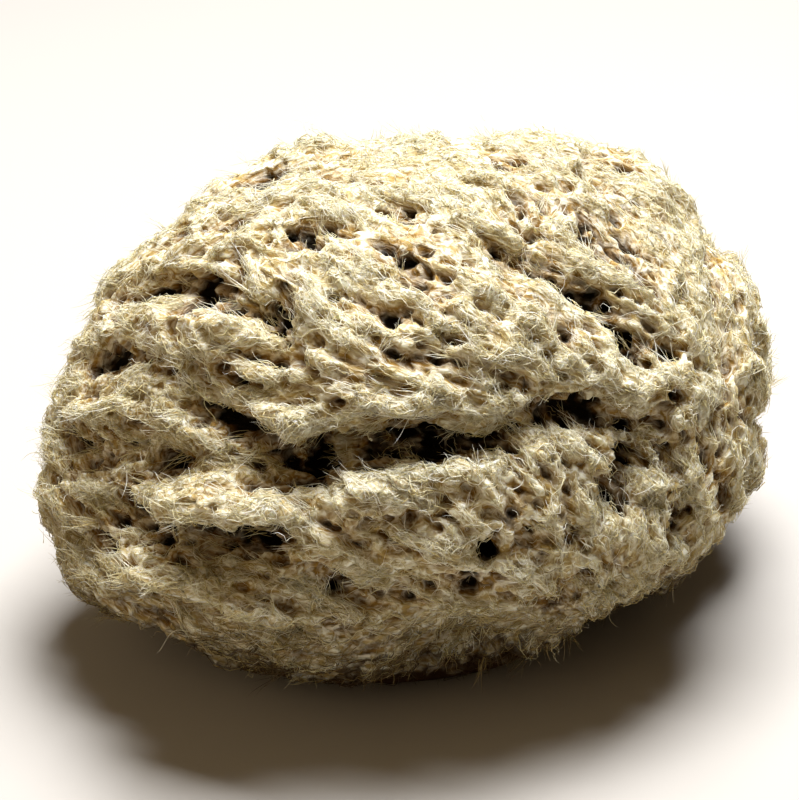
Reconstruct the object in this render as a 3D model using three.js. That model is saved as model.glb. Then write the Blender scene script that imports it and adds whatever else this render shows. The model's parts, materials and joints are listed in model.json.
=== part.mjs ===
// A dried natural sea sponge, the kind sold for the bath: one grown lump, folded into lobes,
// with pits all over and a flat underside that it rests on.
// Millimetres, +Z up, +X along its length. The origin is under the middle of its box,
// on the surface that it stands on.
import * as THREE from "three";
import { ImprovedNoise } from "three/addons/math/ImprovedNoise.js";
import { mergeVertices } from "three/addons/utils/BufferGeometryUtils.js";

// Driving dimensions
const HALF_LENGTH = 59;
const HALF_DEPTH = 49;
const HALF_HEIGHT_ABOVE = 47;
const HALF_HEIGHT_BELOW = 37;
const CENTRE_HEIGHT = 31;

// The mesh starts with edges split into this many, and an edge is halved, up to so many times,
// where the surface bends away from it by more than the tolerance
const FIRST_SPLITS = 14;
const HALVINGS = 2;
const TOLERANCE = 0.55;

// Soft rise and fall of the whole lump: height and spacing of each size of swell
const SWELLS = [
  { height: 2.2, spacing: 26 },
  { height: 1.6, spacing: 12 },
];
const SWELL_OFFSET = 40;
// How far folds and pits wander from their drawn lines
const WANDER = { reach: 1.6, spacing: 9 };
// Folds, pits and swells fade out between these heights, so that the underside stays flat, and the
// swellings, which shape the rim, fade out lower down
const FADE_FROM = 1;
const FADE_TO = 12;
const SWELLING_FADE_FROM = -16;
const SWELLING_FADE_TO = -4;
// A fold's lips stand up beside it, as shares of its depth and half width
const LIP_RISE = 0.14;
const LIP_OFFSET = 2.3;
const LIP_SPREAD = 1.2;
// A fold or ridge rises to its full height over this share of its length, from a low start at its very end
const END_TAPER = 0.18;
const END_START = 0.02;
// A pit's floor and rim, as shares of its radius
const PIT_FLOOR = 0.25;
const PIT_RIM = 1.3;

// The viewpoint from which the front's lobes, folds and pits are placed: they are given as places
// in a picture of this many pixels, taken from here, and land on the lump where they are seen.
const PICTURE = { width: 799, height: 800, acrossAtAim: 129 };
const VIEW_AZIMUTH = THREE.MathUtils.degToRad(-24);
const VIEW_ELEVATION = THREE.MathUtils.degToRad(30);
const VIEW_DISTANCE = 430;
const AIM = new THREE.Vector3(-5, 2.2, 36);
const SIGHT_STEP = 0.25;

// Swellings of the front: place in the picture, half width across and up it, turn, height
const LOBES = [
  { at: [655, 172], across: 14, up: 12, turn: -30, height: 4.2 },
  { at: [712, 222], across: 8, up: 8, turn: 0, height: -2.6 },
  { at: [80, 592], across: 15, up: 13, turn: -30, height: 5.6 },
  { at: [215, 672], across: 10, up: 9, turn: 0, height: 2.0 },
  { at: [470, 672], across: 12, up: 12, turn: 0, height: -7.5 },
  { at: [620, 640], across: 14, up: 12, turn: 25, height: -6.0 },
  { at: [710, 585], across: 7, up: 7, turn: 0, height: -1.6 },
  { at: [785, 485], across: 12, up: 12, turn: -15, height: -9.0 },
  { at: [80, 290], across: 7, up: 7, turn: 0, height: 1.2 },
  { at: [800, 445], across: 7, up: 7, turn: 0, height: -2.6 },
  { at: [118, 258], across: 12, up: 9, turn: 40, height: -2.4 },
  { at: [440, 325], across: 36, up: 15, turn: -14, height: 4.4 },
  { at: [340, 395], across: 10, up: 5, turn: -30, height: 1.6 },
  { at: [440, 412], across: 22, up: 5, turn: 0, height: -1.6 },
  { at: [212, 496], across: 12, up: 5.5, turn: -4, height: 4.4 },
  { at: [190, 328], across: 10, up: 6, turn: -10, height: 2.6 },
  { at: [115, 268], across: 9, up: 5, turn: 8, height: 2.2 },
  { at: [225, 424], across: 12, up: 4, turn: -12, height: 2.0 },
  { at: [95, 410], across: 10, up: 6, turn: 0, height: 2.2 },
  { at: [70, 500], across: 9, up: 6, turn: -30, height: 2.0 },
  { at: [320, 550], across: 13, up: 6, turn: 12, height: 2.4 },
  { at: [420, 500], across: 18, up: 8, turn: -20, height: 1.8 },
  { at: [735, 290], across: 8, up: 8, turn: 0, height: 2.4 },
  { at: [750, 385], across: 8, up: 9, turn: 0, height: 1.8 },
  { at: [715, 500], across: 9, up: 9, turn: 0, height: 1.6 },
  { at: [600, 560], across: 12, up: 7, turn: 15, height: 1.6 },
  { at: [205, 185], across: 12, up: 9, turn: 30, height: 3.2 },
  { at: [290, 148], across: 9, up: 5, turn: 10, height: 2.6 },
];

// Ridges of the front: a line in the picture, half width and height
const RIDGES = [
  { line: [[124, 556], [165, 566], [215, 579], [270, 595], [325, 613]], halfWidth: 3.2, height: 5.6 },
  { line: [[150, 478], [200, 470], [260, 482]], halfWidth: 2.6, height: 1.2 },
  { line: [[340, 470], [400, 492], [450, 530], [470, 560]], halfWidth: 3.4, height: 1.4 },
];

// Folds of the front: a line in the picture, half width and depth
const FOLDS = [
  { line: [[150, 392], [200, 404], [245, 435], [285, 462], [310, 470]], halfWidth: 2.6, depth: 7.0 },
  {
    line: [[240, 458], [285, 468], [318, 467], [345, 454], [395, 446], [450, 440], [505, 433], [550, 428]],
    halfWidth: 2.2, depth: 10,
  },
  { line: [[500, 432], [560, 418], [610, 408], [650, 432], [684, 436]], halfWidth: 2.3, depth: 5.0 },
  { line: [[110, 472], [165, 460], [225, 463], [275, 472], [325, 468]], halfWidth: 2.8, depth: 7.5 },
  {
    line: [[455, 240], [500, 255], [545, 278], [585, 296], [612, 312], [630, 342], [665, 356]],
    halfWidth: 2.9, depth: 4.0,
  },
  { line: [[108, 296], [158, 298], [200, 291], [238, 303], [268, 322], [290, 352], [318, 378]],
    halfWidth: 2.6, depth: 4.6 },
  { line: [[72, 350], [112, 354], [142, 352], [175, 366], [212, 352]], halfWidth: 2.6, depth: 4.4 },
  { line: [[55, 448], [95, 442], [135, 436], [175, 428]], halfWidth: 2.6, depth: 4.0 },
  { line: [[60, 398], [95, 388], [135, 392], [168, 398]], halfWidth: 2.3, depth: 3.0 },
  { line: [[215, 372], [255, 392], [292, 404], [322, 412]], halfWidth: 2.4, depth: 3.2 },
  { line: [[168, 526], [205, 541], [240, 549], [272, 541], [298, 528]], halfWidth: 2.7, depth: 7.0 },
  { line: [[172, 560], [215, 556], [250, 570], [290, 588], [335, 592], [365, 582]],
    halfWidth: 2.6, depth: 4.4 },
  { line: [[45, 498], [75, 520], [104, 541], [128, 550]], halfWidth: 2.5, depth: 3.8 },
  { line: [[92, 494], [116, 512], [146, 530], [176, 540]], halfWidth: 2.2, depth: 5.0 },
  { line: [[330, 474], [322, 500], [302, 528]], halfWidth: 2.0, depth: 3.6 },
  { line: [[372, 480], [410, 500], [442, 522]], halfWidth: 2.2, depth: 2.4 },
  { line: [[572, 152], [598, 169], [624, 187]], halfWidth: 2.2, depth: 3.2 },
  { line: [[250, 158], [262, 186], [243, 216], [215, 244]], halfWidth: 3.6, depth: 3.6 },
  { line: [[700, 228], [704, 262], [714, 305], [722, 348], [716, 396]], halfWidth: 3.2, depth: 2.6 },
  { line: [[300, 588], [352, 604], [410, 600], [458, 584]], halfWidth: 2.8, depth: 2.4 },
  { line: [[128, 584], [180, 602], [235, 618], [300, 636]], halfWidth: 3.0, depth: 3.4 },
  { line: [[322, 166], [350, 182], [398, 204], [408, 238]], halfWidth: 2.4, depth: 2.0 },
];

// Pits of the front: place in the picture, radius and depth
const PITS = [
  { at: [624, 338], radius: 3.2, depth: 6.5 },
  { at: [646, 362], radius: 2.6, depth: 5.5 },
  { at: [667, 352], radius: 2.2, depth: 4.0 },
  { at: [553, 282], radius: 2.2, depth: 4.5 },
  { at: [441, 347], radius: 1.9, depth: 3.5 },
  { at: [506, 387], radius: 2.4, depth: 4.5 },
  { at: [642, 464], radius: 3.2, depth: 7.0 },
  { at: [681, 460], radius: 2.8, depth: 5.0 },
  { at: [624, 499], radius: 3.8, depth: 4.5 },
  { at: [687, 507], radius: 3.0, depth: 4.5 },
  { at: [660, 506], radius: 2.4, depth: 3.5 },
  { at: [532, 530], radius: 2.2, depth: 3.5 },
  { at: [488, 542], radius: 2.6, depth: 4.0 },
  { at: [677, 540], radius: 2.4, depth: 3.5 },
  { at: [726, 502], radius: 2.4, depth: 3.5 },
  { at: [609, 596], radius: 2.4, depth: 3.5 },
  { at: [576, 596], radius: 2.4, depth: 3.5 },
  { at: [540, 614], radius: 2.4, depth: 3.5 },
  { at: [270, 322], radius: 3.0, depth: 7.0 },
  { at: [312, 462], radius: 3.6, depth: 12.0 },
  { at: [214, 347], radius: 2.2, depth: 4.0 },
  { at: [306, 237], radius: 2.0, depth: 3.5 },
  { at: [608, 396], radius: 2.4, depth: 4.0 },
];

// The sides that the picture doesn't show carry the same kinds of relief, spread by chance
const SEED = 20;
const UNSEEN_FOLDS = { count: 11, steps: 5, stride: 9, turn: 0.7, halfWidth: [2.4, 3.4], depth: [3, 6.5] };
const UNSEEN_LOBES = { count: 16, halfWidth: [8, 15], height: [1.4, 3.2] };
const SEEN_LIMIT = 0.2;

// Smaller pits are spread by chance over every side, this far apart
const SCATTERED_PITS = { tries: 900, apart: 7.2, radius: [1.7, 2.7], depth: [2.0, 4.2] };

const centre = new THREE.Vector3(0, 0, CENTRE_HEIGHT);
const noise = new ImprovedNoise();

// The viewpoint's own directions
const towardsEye = new THREE.Vector3(
  Math.sin(VIEW_AZIMUTH) * Math.cos(VIEW_ELEVATION),
  -Math.cos(VIEW_AZIMUTH) * Math.cos(VIEW_ELEVATION),
  Math.sin(VIEW_ELEVATION),
);
const eye = AIM.clone().addScaledVector(towardsEye, VIEW_DISTANCE);
const pictureRight = new THREE.Vector3(Math.cos(VIEW_AZIMUTH), Math.sin(VIEW_AZIMUTH), 0);
const pictureUp = new THREE.Vector3().crossVectors(towardsEye, pictureRight);

// Numbers from 0 to 1 in an order that is the same each time
function chance(seed) {
  let state = seed;
  return () => {
    state = (state * 1664525 + 1013904223) % 4294967296;
    return state / 4294967296;
  };
}

function between([low, high], share) {
  return low + (high - low) * share;
}

// The smooth lump under all the relief is an ellipsoid that is taller above its widest level than below
function halfAxes(height) {
  return new THREE.Vector3(HALF_LENGTH, HALF_DEPTH, height > 0 ? HALF_HEIGHT_ABOVE : HALF_HEIGHT_BELOW);
}

// A point of the unit sphere put on the lump
function onLump(direction) {
  return direction.clone().multiply(halfAxes(direction.z)).add(centre);
}

// A point in space as a vector from the lump's centre that has length 1 on the lump
function inLump(point) {
  const off = point.clone().sub(centre);
  return off.divide(halfAxes(off.z));
}

// The lump's outward normal at a point of the unit sphere
function outwardAt(direction) {
  return direction.clone().divide(halfAxes(direction.z)).normalize();
}

// Where the lump shows at a place in the picture, or its rim if the place is just outside it
function seenAt([x, y]) {
  const pixel = PICTURE.acrossAtAim / PICTURE.width;
  const target = AIM.clone()
    .addScaledVector(pictureRight, (x - PICTURE.width / 2) * pixel)
    .addScaledVector(pictureUp, (PICTURE.height / 2 - y) * pixel);
  const along = target.sub(eye).normalize();
  const here = eye.clone();
  let nearest = inLump(here);
  for (let gone = 0; gone < 2 * VIEW_DISTANCE && nearest.length() > 1; gone += SIGHT_STEP) {
    const now = inLump(here.addScaledVector(along, SIGHT_STEP));
    if (now.length() < nearest.length()) nearest = now;
  }
  return onLump(nearest.normalize());
}

// Distance from a point to a line of points, and how far along the line the nearest spot is
function nearLine(point, line) {
  let best = { distance: Infinity, share: 0 };
  const segment = new THREE.Line3();
  const nearest = new THREE.Vector3();
  for (let i = 0; i + 1 < line.length; i++) {
    segment.set(line[i], line[i + 1]);
    const along = segment.closestPointToPointParameter(point, true);
    segment.at(along, nearest);
    const distance = nearest.distanceTo(point);
    if (distance < best.distance) best = { distance, share: (i + along) / (line.length - 1) };
  }
  return best;
}

function bell(distance, width) {
  return Math.exp(-((distance / width) ** 2));
}

// A pit's wall: 1 over its floor, falling to 0 just outside its rim
function pitWall(distance, radius) {
  return 1 - THREE.MathUtils.smoothstep(distance, PIT_FLOOR * radius, PIT_RIM * radius);
}

function endTaper(share) {
  return THREE.MathUtils.smoothstep(Math.min(share, 1 - share), -END_START, END_TAPER);
}

const next = chance(SEED);

// A random direction above the flat underside
function anySpot() {
  for (;;) {
    const fromPole = Math.acos(2 * next() - 1);
    const around = 2 * Math.PI * next();
    const direction = new THREE.Vector3().setFromSphericalCoords(1, fromPole, around);
    if (onLump(direction).z > FADE_TO) return direction;
  }
}

// A random direction that the picture doesn't show
function unseenSpot() {
  for (;;) {
    const direction = anySpot();
    if (outwardAt(direction).dot(towardsEye) < SEEN_LIMIT) return direction;
  }
}

// A fold that wanders over the unseen sides from a random start
function unseenFold() {
  const shake = () => new THREE.Vector3(next() - 0.5, next() - 0.5, next() - 0.5);
  const heading = shake().normalize();
  const line = [onLump(unseenSpot())];
  while (line.length < UNSEEN_FOLDS.steps) {
    heading.addScaledVector(shake(), UNSEEN_FOLDS.turn).normalize();
    const ahead = line.at(-1).clone().addScaledVector(heading, UNSEEN_FOLDS.stride);
    line.push(onLump(inLump(ahead).normalize()));
  }
  return {
    line,
    halfWidth: between(UNSEEN_FOLDS.halfWidth, next()),
    depth: between(UNSEEN_FOLDS.depth, next()),
  };
}

function unseenLobe() {
  return {
    centre: onLump(unseenSpot()),
    halfWidth: between(UNSEEN_LOBES.halfWidth, next()),
    height: between(UNSEEN_LOBES.height, next()),
  };
}

// Small pits on every side, none too near another
function scatteredPits(placed) {
  const made = [];
  for (let i = 0; i < SCATTERED_PITS.tries; i++) {
    const centre = onLump(anySpot());
    const share = next();
    if ([...placed, ...made].some((pit) => pit.centre.distanceTo(centre) < SCATTERED_PITS.apart)) continue;
    made.push({
      centre,
      radius: between(SCATTERED_PITS.radius, share),
      depth: between(SCATTERED_PITS.depth, share),
    });
  }
  return made;
}

const unseenFolds = Array.from({ length: UNSEEN_FOLDS.count }, unseenFold);
const unseenLobes = Array.from({ length: UNSEEN_LOBES.count }, unseenLobe);
const folds = [...FOLDS.map((fold) => ({ ...fold, line: fold.line.map(seenAt) })), ...unseenFolds];
const ridges = RIDGES.map((ridge) => ({ ...ridge, line: ridge.line.map(seenAt) }));
const namedPits = PITS.map((pit) => ({ ...pit, centre: seenAt(pit.at) }));
const pits = [...namedPits, ...scatteredPits(namedPits)];
const lobes = LOBES.map((lobe) => {
  const turn = THREE.MathUtils.degToRad(lobe.turn);
  return {
    centre: seenAt(lobe.at),
    across: pictureRight.clone().multiplyScalar(Math.cos(turn)).addScaledVector(pictureUp, Math.sin(turn)),
    up: pictureUp.clone().multiplyScalar(Math.cos(turn)).addScaledVector(pictureRight, -Math.sin(turn)),
    halfAcross: lobe.across,
    halfUp: lobe.up,
    height: lobe.height,
  };
});

// How far a swelling of the front lifts a point: it is oval across and up the picture
function lobeRise(point, lobe) {
  const off = point.clone().sub(lobe.centre);
  const across = off.dot(lobe.across) / lobe.halfAcross;
  const up = off.dot(lobe.up) / lobe.halfUp;
  const deep = off.dot(towardsEye) / Math.max(lobe.halfAcross, lobe.halfUp);
  return lobe.height * Math.exp(-(across ** 2 + up ** 2 + deep ** 2));
}

// A point of the lump moved a little at random, so that what is drawn straight comes out uneven
function wandered(point) {
  const off = new THREE.Vector3(0, 1, 2).addScalar(SWELL_OFFSET).toArray().map((offset) =>
    WANDER.reach * noise.noise(
      offset + point.x / WANDER.spacing,
      point.y / WANDER.spacing - offset,
      point.z / WANDER.spacing,
    ));
  return point.clone().add(new THREE.Vector3(...off));
}

// How far the swellings of all sides lift a point of the lump
function swelling(here) {
  let rise = 0;
  for (const lobe of lobes) rise += lobeRise(here, lobe);
  for (const lobe of unseenLobes) {
    rise += lobe.height * bell(here.distanceTo(lobe.centre), lobe.halfWidth);
  }
  return rise;
}

// The height of the finer relief over the swollen lump
function relief(point, here) {
  let rise = 0;
  for (const { height, spacing } of SWELLS) {
    rise += height * noise.noise(
      SWELL_OFFSET + point.x / spacing,
      SWELL_OFFSET + point.y / spacing,
      SWELL_OFFSET + point.z / spacing,
    );
  }
  for (const ridge of ridges) {
    const { distance, share } = nearLine(here, ridge.line);
    rise += ridge.height * bell(distance, ridge.halfWidth) * endTaper(share);
  }
  let hollow = 0;
  for (const fold of folds) {
    const { distance, share } = nearLine(here, fold.line);
    const taper = endTaper(share);
    hollow = Math.max(hollow, fold.depth * bell(distance, fold.halfWidth) * taper);
    const lip = distance - LIP_OFFSET * fold.halfWidth;
    rise += LIP_RISE * fold.depth * bell(lip, LIP_SPREAD * fold.halfWidth) * taper;
  }
  for (const pit of pits) {
    hollow = Math.max(hollow, pit.depth * pitWall(here.distanceTo(pit.centre), pit.radius));
  }
  return rise - hollow;
}

// The point of the sponge's surface that belongs to a direction from the lump's centre
function surfaceAt(direction) {
  const point = onLump(direction);
  const here = wandered(point);
  const swellingFade = THREE.MathUtils.smoothstep(point.z, SWELLING_FADE_FROM, SWELLING_FADE_TO);
  const reliefFade = THREE.MathUtils.smoothstep(point.z, FADE_FROM, FADE_TO);
  const rise = swellingFade * swelling(here) + reliefFade * relief(point, here);
  point.addScaledVector(outwardAt(direction), rise);
  point.z = Math.max(0, point.z);
  return point;
}

// Halves each edge that the surface bends away from, and splits the triangles beside it to match
function halved(directions, points, triangles) {
  const middles = new Map();
  const middleOf = (a, b) => {
    const key = a < b ? `${a} ${b}` : `${b} ${a}`;
    if (!middles.has(key)) {
      const direction = directions[a].clone().add(directions[b]).normalize();
      const point = surfaceAt(direction);
      const chord = points[a].clone().lerp(points[b], 0.5);
      let made = null;
      if (point.distanceTo(chord) > TOLERANCE) {
        made = directions.length;
        directions.push(direction);
        points.push(point);
      }
      middles.set(key, made);
    }
    return middles.get(key);
  };
  return triangles.flatMap(([a, b, c]) => {
    // Turned so that the halved edges, if one or two, come in a known order
    const ab = middleOf(a, b);
    const bc = middleOf(b, c);
    const ca = middleOf(c, a);
    const turns = [[a, b, c, ab, bc, ca], [b, c, a, bc, ca, ab], [c, a, b, ca, ab, bc]];
    const cut = [ab, bc, ca].filter((middle) => middle !== null).length;
    if (cut === 0) return [[a, b, c]];
    if (cut === 3) return [[a, ab, ca], [ab, b, bc], [ca, bc, c], [ab, bc, ca]];
    if (cut === 1) {
      const [p, q, r, pq] = turns.find((turn) => turn[3] !== null);
      return [[p, pq, r], [pq, q, r]];
    }
    const [p, q, r, pq, qr] = turns.find((turn) => turn[3] !== null && turn[4] !== null);
    return [[pq, q, qr], [p, pq, qr], [p, qr, r]];
  });
}

// The whole sponge: an icosahedron, split finely where the surface bends
function spongeGeometry() {
  const start = new THREE.IcosahedronGeometry(1, FIRST_SPLITS - 1);
  start.deleteAttribute("normal");
  start.deleteAttribute("uv");
  const merged = mergeVertices(start);
  const corners = merged.getAttribute("position");
  const directions = Array.from({ length: corners.count }, (_, i) =>
    new THREE.Vector3().fromBufferAttribute(corners, i).normalize());
  const points = directions.map(surfaceAt);
  let triangles = Array.from({ length: merged.index.count / 3 }, (_, i) =>
    [0, 1, 2].map((corner) => merged.index.getX(3 * i + corner)));
  for (let round = 0; round < HALVINGS; round++) triangles = halved(directions, points, triangles);
  const geometry = new THREE.BufferGeometry().setFromPoints(points);
  geometry.setIndex(triangles.flat());
  geometry.computeBoundingBox();
  const middle = geometry.boundingBox.getCenter(new THREE.Vector3());
  geometry.translate(-middle.x, -middle.y, 0);
  geometry.computeVertexNormals();
  return geometry;
}

const spongeFibre = new THREE.MeshStandardMaterial({ color: 0xcdbb8e, roughness: 0.95, metalness: 0 });
const sponge = new THREE.Mesh(spongeGeometry(), spongeFibre);
sponge.name = "sponge";

const part = new THREE.Group();
part.add(sponge);

export default part;
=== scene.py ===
# %% [markdown]
# # A dried sea sponge
# The object is the dried skeleton of a natural bath sponge: one lump of felted fibres, folded into lobes,
# eaten through with pores, with loose pale fibre ends standing out of every ridge.
# The part's solid already has the lump, its folds and its larger pits.
# This lesson dresses it: a felted body with pores, a mat of fibres that lie on it, and tufts that stand out.

# %% Start from the part's solid
import json
import math

import bpy
import numpy as np
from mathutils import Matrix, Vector
from mathutils.bvhtree import BVHTree
from mathutils.kdtree import KDTree

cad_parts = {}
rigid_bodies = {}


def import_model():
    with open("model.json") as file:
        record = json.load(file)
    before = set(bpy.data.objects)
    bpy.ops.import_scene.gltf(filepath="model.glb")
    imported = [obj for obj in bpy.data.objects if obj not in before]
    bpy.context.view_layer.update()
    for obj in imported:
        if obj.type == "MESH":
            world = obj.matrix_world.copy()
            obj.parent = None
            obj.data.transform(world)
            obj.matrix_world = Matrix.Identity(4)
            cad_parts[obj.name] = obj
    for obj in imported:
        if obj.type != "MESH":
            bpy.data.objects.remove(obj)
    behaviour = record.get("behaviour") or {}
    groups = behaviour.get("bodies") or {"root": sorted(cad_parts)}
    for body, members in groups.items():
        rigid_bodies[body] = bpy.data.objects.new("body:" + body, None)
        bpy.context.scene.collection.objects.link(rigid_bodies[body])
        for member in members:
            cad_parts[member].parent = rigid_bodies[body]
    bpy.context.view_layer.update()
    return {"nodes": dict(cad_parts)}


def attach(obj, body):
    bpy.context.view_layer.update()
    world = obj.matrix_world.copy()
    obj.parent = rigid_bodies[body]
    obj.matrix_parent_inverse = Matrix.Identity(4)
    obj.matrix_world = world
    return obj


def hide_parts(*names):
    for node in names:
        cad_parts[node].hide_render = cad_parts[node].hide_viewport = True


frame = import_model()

solid = frame["nodes"]["sponge"]
MM = 0.001

# %% [markdown]
# ## The camera
# The folds, the lie of the fibres and the darkest holes are placed by where they show in the picture,
# so the camera comes first. It looks down on the long side from 30 degrees, through a long lens.

# %% Camera
PICTURE_WIDTH = 799
PICTURE_HEIGHT = 800
VIEW_AZIMUTH = math.radians(-24)
VIEW_ELEVATION = math.radians(30)
VIEW_DISTANCE = 430 * MM
ACROSS_AT_AIM = 129 * MM
AIM = Vector((-3.92, 2.08, 36)) * MM
SENSOR = 36

towards_eye = Vector((
    math.sin(VIEW_AZIMUTH) * math.cos(VIEW_ELEVATION),
    -math.cos(VIEW_AZIMUTH) * math.cos(VIEW_ELEVATION),
    math.sin(VIEW_ELEVATION),
))
picture_right = Vector((math.cos(VIEW_AZIMUTH), math.sin(VIEW_AZIMUTH), 0))
picture_up = towards_eye.cross(picture_right)
eye = AIM + VIEW_DISTANCE * towards_eye

bpy.ops.object.camera_add(location=eye, rotation=towards_eye.to_track_quat("Z", "Y").to_euler())
camera = bpy.context.object
camera.name = "camera"
camera.data.sensor_fit = "HORIZONTAL"
camera.data.sensor_width = SENSOR
camera.data.lens = SENSOR * VIEW_DISTANCE / ACROSS_AT_AIM
bpy.context.scene.camera = camera
print("camera at", tuple(round(c, 3) for c in eye), "lens", round(camera.data.lens, 1), "mm")

# %% [markdown]
# ## Small helpers
# An operator acts on all that is selected, so `pick` leaves exactly one piece selected.
# `finish_with` adds a modifier and applies it, as a modeller does from the modifier menu.

# %% Helpers for modelling
def pick(piece):
    """Selects this piece and nothing else."""
    bpy.ops.object.select_all(action="DESELECT")
    piece.select_set(True)
    bpy.context.view_layer.objects.active = piece


def finish_with(piece, kind, **settings):
    """Adds one modifier with these settings and applies it."""
    modifier = piece.modifiers.new(kind.title(), kind)
    for name, value in settings.items():
        setattr(modifier, name, value)
    pick(piece)
    bpy.ops.object.modifier_apply(modifier=modifier.name)


def corners(mesh):
    """The mesh's points and their outward directions, as arrays."""
    points = np.empty(3 * len(mesh.vertices), np.float32)
    mesh.vertices.foreach_get("co", points)
    outward = np.empty(3 * len(mesh.vertices), np.float32)
    mesh.vertex_normals.foreach_get("vector", outward)
    return points.reshape(-1, 3).astype(float), outward.reshape(-1, 3).astype(float)


def place(mesh, points):
    """Moves the mesh's points."""
    mesh.vertices.foreach_set("co", points.astype(np.float32).ravel())
    mesh.update()


def smoothstep(value, low, high):
    """Eases from 0 at low to 1 at high."""
    share = np.clip((value - low) / (high - low), 0, 1)
    return share * share * (3 - 2 * share)


def unit(vectors):
    """The same directions at length 1."""
    return vectors / np.maximum(np.linalg.norm(vectors, axis=-1, keepdims=True), 1e-9)


def in_surface(vectors, outward):
    """The part of each vector that lies in the surface, at length 1."""
    return unit(vectors - (vectors * outward).sum(-1, keepdims=True) * outward)


# %% [markdown]
# ## Noise that can be read in code
# The relief follows the lie of the fibres, which a texture can't know, so the noise is worked out here:
# a soft noise of the usual kind, with a random direction at each corner of a lattice.
# Averaged along the fibres' own direction it turns into streaks.

# %% Soft noise and streaks
NOISE_DIRECTIONS = 256
# Brings the noise to a reach of about -1 to 1
NOISE_GAIN = 1.6


def soft_noise(points, spacing, seed):
    """Noise from about -1 to 1 that rises and falls over this spacing."""
    dice = np.random.default_rng(seed)
    slopes = unit(dice.normal(size=(NOISE_DIRECTIONS, 3)))
    order = dice.permutation(NOISE_DIRECTIONS)
    cell = np.floor(points / spacing).astype(np.int64)
    inside = points / spacing - cell
    ease = inside**3 * (inside * (inside * 6 - 15) + 10)
    total = np.zeros(len(points))
    for corner in np.ndindex(2, 2, 2):
        at = cell + corner
        by_height = order[at[:, 2] % NOISE_DIRECTIONS]
        by_row = order[(at[:, 1] + by_height) % NOISE_DIRECTIONS]
        slope = slopes[order[(at[:, 0] + by_row) % NOISE_DIRECTIONS]]
        weight = np.where(corner, ease, 1 - ease).prod(1)
        total += weight * (slope * (inside - corner)).sum(1)
    return NOISE_GAIN * total


def soft_vectors(points, spacing, seed):
    """Three such noises side by side."""
    return np.stack([soft_noise(points, spacing, seed + k) for k in range(3)], 1)


def streaks(points, grain, spacing, reach, seed, steps=7):
    """Noise averaged along the grain, so that it runs in streaks, brought to a spread of 1."""
    total = sum(
        soft_noise(points + slide * grain, spacing, seed)
        for slide in np.linspace(-reach, reach, steps)
    )
    return total / total.std()


# %% [markdown]
# ## The felted body: a smooth start
# A copy of the solid is merged and remeshed with small even cells, which rounds its facets away.
# It is then drawn in by the depth of the loose fibres, so that their tips end where the solid's surface is.
# The flat underside stays where it is, because the sponge rests on it.

# %% Rounded copy of the solid
SAME_POINT = 0.01 * MM
COARSE_CELL = 0.8 * MM
COARSE_ROUNDS = 8
FIBRE_DEPTH = 1.3 * MM
# Nothing moves below the first height, and all moves freely above the second
REST_HEIGHT = 1 * MM
FREE_HEIGHT = 9 * MM

body = bpy.data.objects.new("sponge_body", solid.data.copy())
bpy.context.scene.collection.objects.link(body)
pick(body)
bpy.ops.object.mode_set(mode="EDIT")
bpy.ops.mesh.select_all(action="SELECT")
bpy.ops.mesh.remove_doubles(threshold=SAME_POINT)
bpy.ops.object.mode_set(mode="OBJECT")
finish_with(body, "REMESH", mode="VOXEL", voxel_size=COARSE_CELL)
finish_with(body, "SMOOTH", factor=0.5, iterations=COARSE_ROUNDS)

points, outward = corners(body.data)
free = smoothstep(points[:, 2], REST_HEIGHT, FREE_HEIGHT)[:, None]
points -= FIBRE_DEPTH * free * outward
place(body.data, points)
print("drawn-in body:", len(points), "points")

# %% [markdown]
# ## Folds that dig in under their upper lobe
# A soft lobe sags over the fold below it, so the bottom of each fold lies higher than its mouth.
# How deep a point lies in a fold is measured from a lump: a copy with coarse cells, smoothed until
# it has no folds. Points in deep folds are then moved uphill in step with that depth, and the body is
# remeshed finely.

# %% Undercut the folds
LUMP_CELL = 2.5 * MM
LUMP_ROUNDS = 30
UNDERCUT = 0.9
UNDERCUT_FROM = 5.0 * MM
FINE_CELL = 0.5 * MM
FINE_ROUNDS = 5


def surface_tree(mesh):
    """A tree that finds the nearest spot of a mesh's surface."""
    return BVHTree.FromPolygons(corners(mesh)[0].tolist(), [tuple(face.vertices) for face in mesh.polygons])


def depth_under(tree, places):
    """How far each place lies under the surface that the tree holds, below 0 where it stands out."""
    hits = [tree.find_nearest(spot) for spot in places.tolist()]
    found = np.array([hit[0] for hit in hits])
    facing = np.array([hit[1] for hit in hits])
    return ((found - places) * facing).sum(1)


lump = bpy.data.objects.new("lump", body.data.copy())
bpy.context.scene.collection.objects.link(lump)
finish_with(lump, "REMESH", mode="VOXEL", voxel_size=LUMP_CELL)
finish_with(lump, "SMOOTH", factor=0.5, iterations=LUMP_ROUNDS)
lump_points, lump_outward = corners(lump.data)
place(lump.data, lump_points + FIBRE_DEPTH * lump_outward)
lump_tree = surface_tree(lump.data)
bpy.data.objects.remove(lump)

points, outward = corners(body.data)
sunk = np.clip(depth_under(lump_tree, points), 0, None)
uphill = np.array([0, 0, 1]) - outward[:, 2:] * outward
free = smoothstep(points[:, 2], REST_HEIGHT, FREE_HEIGHT)[:, None]
hidden = np.clip(sunk - UNDERCUT_FROM, 0, None)[:, None]
place(body.data, points + UNDERCUT * free * hidden * uphill)
finish_with(body, "REMESH", mode="VOXEL", voxel_size=FINE_CELL)
finish_with(body, "SMOOTH", factor=0.5, iterations=FINE_ROUNDS)
points, outward = corners(body.data)
rounded = surface_tree(body.data)
print("undercut body:", len(points), "points, deepest fold", round(sunk.max() / MM, 1), "mm")

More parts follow.
